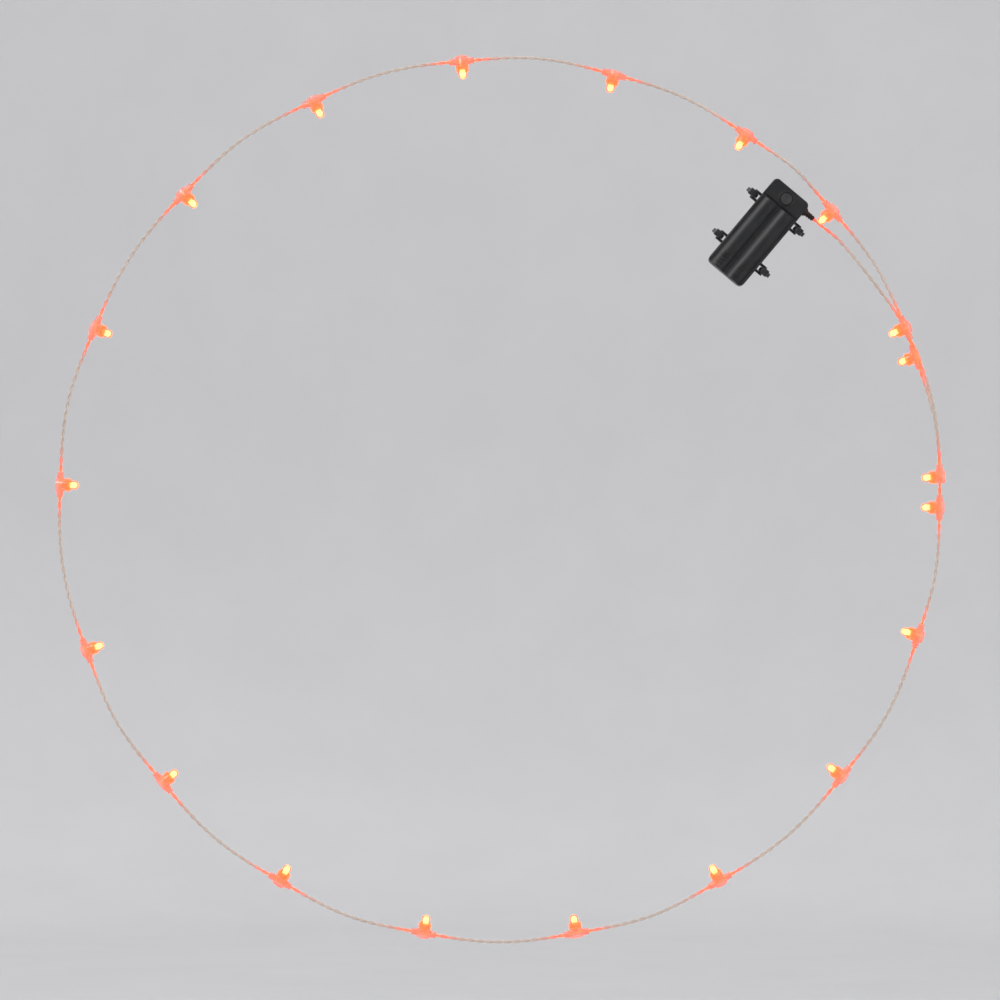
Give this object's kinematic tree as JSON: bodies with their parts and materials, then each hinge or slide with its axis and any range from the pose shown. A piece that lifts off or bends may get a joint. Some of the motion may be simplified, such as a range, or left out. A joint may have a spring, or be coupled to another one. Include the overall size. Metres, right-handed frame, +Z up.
{
  "type": "spoke wheel light",
  "caption": "Ring of red lamps in clear boots on one wire, laced round a wheel rim and fed from a slim battery box with a sliding cover and push button, tied between two spokes.",
  "frame": {"origin": "centre of the wheel that carries the light, on the wheel's axis", "axes": "+Y along the wheel axis away from the viewer, +Z up, +X to the viewer's right; the ring lies in XZ"},
  "size_m": [0.5338, 0.018, 0.5333],
  "materials": {
    "box_abs": "fine matt grain",
    "tie_nylon": "satin",
    "soft_rubber": "matt",
    "switch_plastic": "moulded",
    "board": "solder mask",
    "part_epoxy": "moulded epoxy",
    "cell_sleeve": "plain coloured film sleeve",
    "contact_nickel": "nickel plated",
    "lead_insulation": "smooth",
    "clear_pvc": "clear, smooth",
    "lens_red": "clear red epoxy"
  },
  "bodies": {
    "box": {"box_base": "box_abs", "switch_hood": "box_abs", "hood_screws": "contact_nickel", "switch_body": "switch_plastic", "circuit_board": "board", "driver_chip": "part_epoxy", "series_resistor": "part_epoxy", "cell_1": "cell_sleeve", "cell_2": "cell_sleeve", "cell_springs": "contact_nickel", "link_plate": "contact_nickel", "terminal_plates": "contact_nickel", "wire_gland": "soft_rubber", "inner_leads": "lead_insulation", "spoke_ties": "tie_nylon", "string_wire": "clear_pvc", "lens_legs": "contact_nickel", "lens_01": "lens_red", "lens_02": "lens_red", "lens_03": "lens_red", "lens_04": "lens_red", "lens_05": "lens_red", "lens_06": "lens_red", "lens_07": "lens_red", "lens_08": "lens_red", "lens_09": "lens_red", "lens_10": "lens_red", "lens_11": "lens_red", "lens_12": "lens_red", "lens_13": "lens_red", "lens_14": "lens_red", "lens_15": "lens_red", "lens_16": "lens_red", "lens_17": "lens_red", "lens_18": "lens_red", "lens_19": "lens_red", "lens_20": "lens_red", "boot_01": "clear_pvc", "boot_02": "clear_pvc", "boot_03": "clear_pvc", "boot_04": "clear_pvc", "boot_05": "clear_pvc", "boot_06": "clear_pvc", "boot_07": "clear_pvc", "boot_08": "clear_pvc", "boot_09": "clear_pvc", "boot_10": "clear_pvc", "boot_11": "clear_pvc", "boot_12": "clear_pvc", "boot_13": "clear_pvc", "boot_14": "clear_pvc", "boot_15": "clear_pvc", "boot_16": "clear_pvc", "boot_17": "clear_pvc", "boot_18": "clear_pvc", "boot_19": "clear_pvc", "boot_20": "clear_pvc"},
    "cover": {"battery_cover": "box_abs"},
    "button": {"mode_button": "soft_rubber"},
    "plunger": {"switch_plunger": "switch_plastic"}
  },
  "joints": [
    {"name": "cover_slide", "type": "slide", "parent": "box", "child": "cover", "axis": [-0.6428, 0, -0.766], "range_m": [0, 0.052]},
    {"name": "button_press", "type": "slide", "parent": "box", "child": "button", "axis": [0, 1, 0], "range_m": [0, 0.0006], "stiffness_N_per_m": 1500, "springref_m": -0.0003},
    {"name": "plunger_press", "type": "slide", "parent": "box", "child": "plunger", "axis": [0, 1, 0], "range_m": [0, 0.0006]}
  ],
  "couplings": [
    {"joint": "plunger_press", "follows": "button_press", "ratio": 1}
  ]
}
